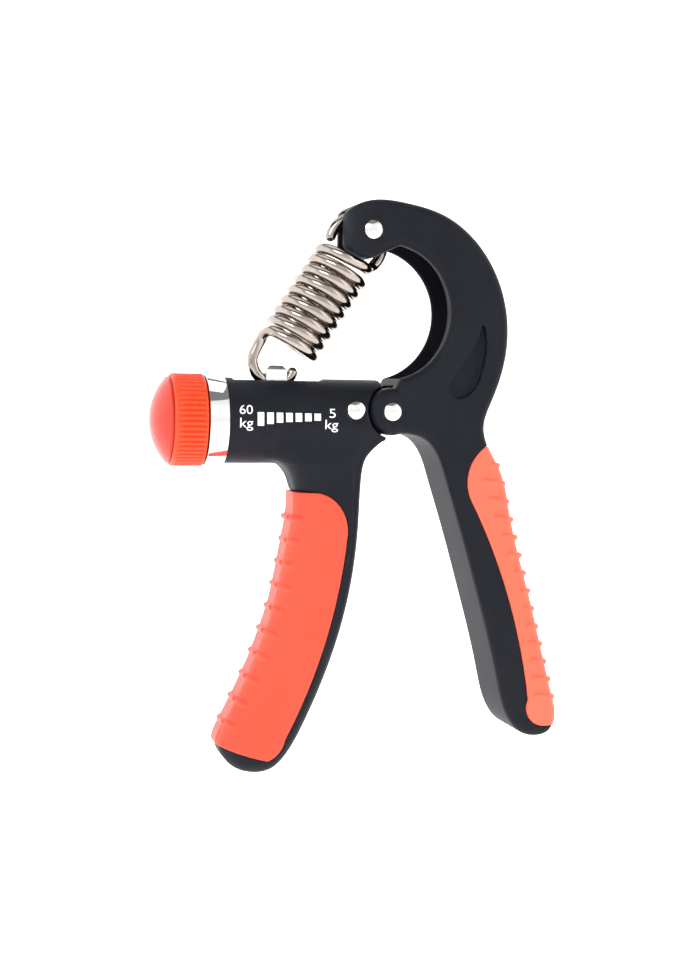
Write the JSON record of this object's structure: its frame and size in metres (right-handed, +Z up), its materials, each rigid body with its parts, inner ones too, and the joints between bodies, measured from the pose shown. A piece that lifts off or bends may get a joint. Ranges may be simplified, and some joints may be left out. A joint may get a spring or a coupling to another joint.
{
  "type": "hand grip strengthener",
  "caption": "Adjustable hand grip exerciser: two handles on a pivot, a C-shaped arm, a tension spring and a turning knob that sets the load.",
  "frame": {"origin": "middle of the outline's lowest level, between the two handle ends it stands on", "axes": "+Z up, from the handle ends to the C-shaped arm; +X from the knob towards the lever; -Y the front, with the printed scale"},
  "size_m": [0.1044, 0.0246, 0.1498],
  "materials": {
    "black_plastic": "satin",
    "soft_red": "matte",
    "soft_coral": "matte",
    "mirror_chrome": "polished",
    "nylon": "matte",
    "brass": "satin",
    "nickel": "polished",
    "knob_red": "satin",
    "cap_red": "gloss",
    "steel": "satin",
    "zinc": "satin",
    "spring_wire": "polished"
  },
  "bodies": {
    "housing": {"main_housing": "black_plastic", "left_grip_cover": "soft_red", "collar_ring": "mirror_chrome", "end_plug": "black_plastic", "thrust_washer": "nylon", "end_bearing": "brass", "body_rivet": "nickel", "pivot_bush": "nylon"},
    "lever": {"lever_frame": "black_plastic", "right_grip_cover": "soft_coral", "pivot_rivet": "nickel", "pivot_washers": "nylon", "spring_pin": "nickel"},
    "knob": {"knob_shell": "knob_red", "knob_cap": "cap_red", "lead_screw": "steel", "retaining_ring": "steel"},
    "traveller": {"traveller_nut": "zinc"},
    "spring_foot": {"spring_lower_hook": "spring_wire"},
    "spring_body": {"spring_coil": "spring_wire"},
    "spring_neck": {"spring_end_turn": "spring_wire"},
    "spring_head": {"spring_upper_hook": "spring_wire"}
  },
  "joints": [
    {"name": "lever_squeeze", "type": "hinge", "parent": "housing", "child": "lever", "pos_m": [0.01184, 0, 0.09315], "axis": [0, 1, 0], "range_deg": [0, 34], "stiffness_Nm_per_rad": 18, "springref_deg": -6.88, "deforming": ["spring_lower_hook", "spring_coil", "spring_end_turn", "spring_upper_hook"]},
    {"name": "traveller_slide", "type": "slide", "parent": "housing", "child": "traveller", "axis": [0.9952, 0, -0.098], "range_m": [-0.0055, 0.0035]},
    {"name": "knob_turn", "type": "hinge", "parent": "housing", "child": "knob", "pos_m": [-0.04319, 0, 0.0956], "axis": [0.9952, 0, -0.098], "range_deg": [-1009, 1585]},
    {"name": "spring_swing", "type": "hinge", "parent": "traveller", "child": "spring_foot", "pos_m": [-0.01724, 0, 0.10807], "axis": [0, 1, 0], "range_deg": [-0.5, 26]},
    {"name": "spring_set", "type": "hinge", "parent": "spring_foot", "child": "spring_body", "pos_m": [-0.01724, 0, 0.10807], "axis": [0, 1, 0], "range_deg": [-4.4, 7]},
    {"name": "spring_stretch", "type": "slide", "parent": "spring_body", "child": "spring_neck", "axis": [0.6336, 0, 0.7737], "range_m": [-0.0003, 0.0178]},
    {"name": "spring_preload", "type": "slide", "parent": "spring_neck", "child": "spring_head", "axis": [0.6336, 0, 0.7737], "range_m": [-0.0021, 0.0033]}
  ],
  "couplings": [
    {"joint": "knob_turn", "follows": "traveller_slide", "rad_per_m": -5026.5},
    {"joint": "spring_swing", "follows": "lever_squeeze", "ratio": 0.74197},
    {"joint": "spring_stretch", "follows": "lever_squeeze", "m_per_rad": 0.02933},
    {"joint": "spring_set", "follows": "traveller_slide", "rad_per_m": -19.278},
    {"joint": "spring_preload", "follows": "traveller_slide", "ratio": -0.54472}
  ]
}
